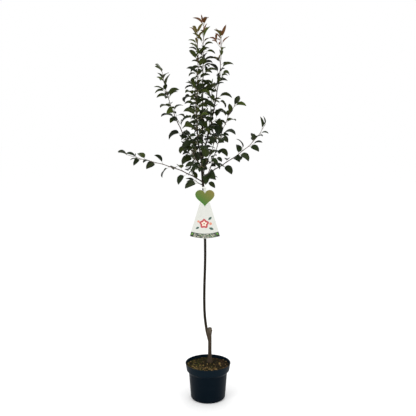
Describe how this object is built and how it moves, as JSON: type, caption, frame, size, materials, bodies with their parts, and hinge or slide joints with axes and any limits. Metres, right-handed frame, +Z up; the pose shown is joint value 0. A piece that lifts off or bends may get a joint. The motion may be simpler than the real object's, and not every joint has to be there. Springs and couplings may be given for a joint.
{
  "type": "potted pear tree",
  "caption": "Young grafted pear tree in a round nursery pot, with bare trunk, upright leaders, spreading side boughs and a hanging label.",
  "frame": {"origin": "middle of the pot's flat underside, where it stands", "axes": "+Z up the tree, -Y towards the viewer, +X to the viewer's right"},
  "size_m": [0.7908, 0.7426, 2.0238],
  "materials": {
    "pot": "moulded, satin",
    "soil": "damp compost",
    "bark": "rough bark",
    "foliage": "waxy leaves",
    "tag": "printed sheet"
  },
  "bodies": {
    "root": {"pot": "pot", "soil": "soil", "trunk": "bark", "tag": "tag", "bough_left_leader": "bark", "bough_centre_leader": "bark", "bough_right_leader": "bark", "bough_upper_left": "bark", "bough_lower_left": "bark", "bough_lower_right": "bark", "bough_thin_right": "bark", "bough_low_front": "bark", "bough_high_front": "bark", "bough_low_back": "bark", "bough_high_back": "bark", "foliage_left_leader": "foliage", "foliage_centre_leader": "foliage", "foliage_right_leader": "foliage", "foliage_upper_left": "foliage", "foliage_lower_left": "foliage", "foliage_lower_right": "foliage", "foliage_thin_right": "foliage", "foliage_low_front": "foliage", "foliage_high_front": "foliage", "foliage_low_back": "foliage", "foliage_high_back": "foliage", "foliage_spur_left": "foliage", "foliage_spur_right": "foliage", "foliage_spur_inner": "foliage"}
  },
  "joints": []
}
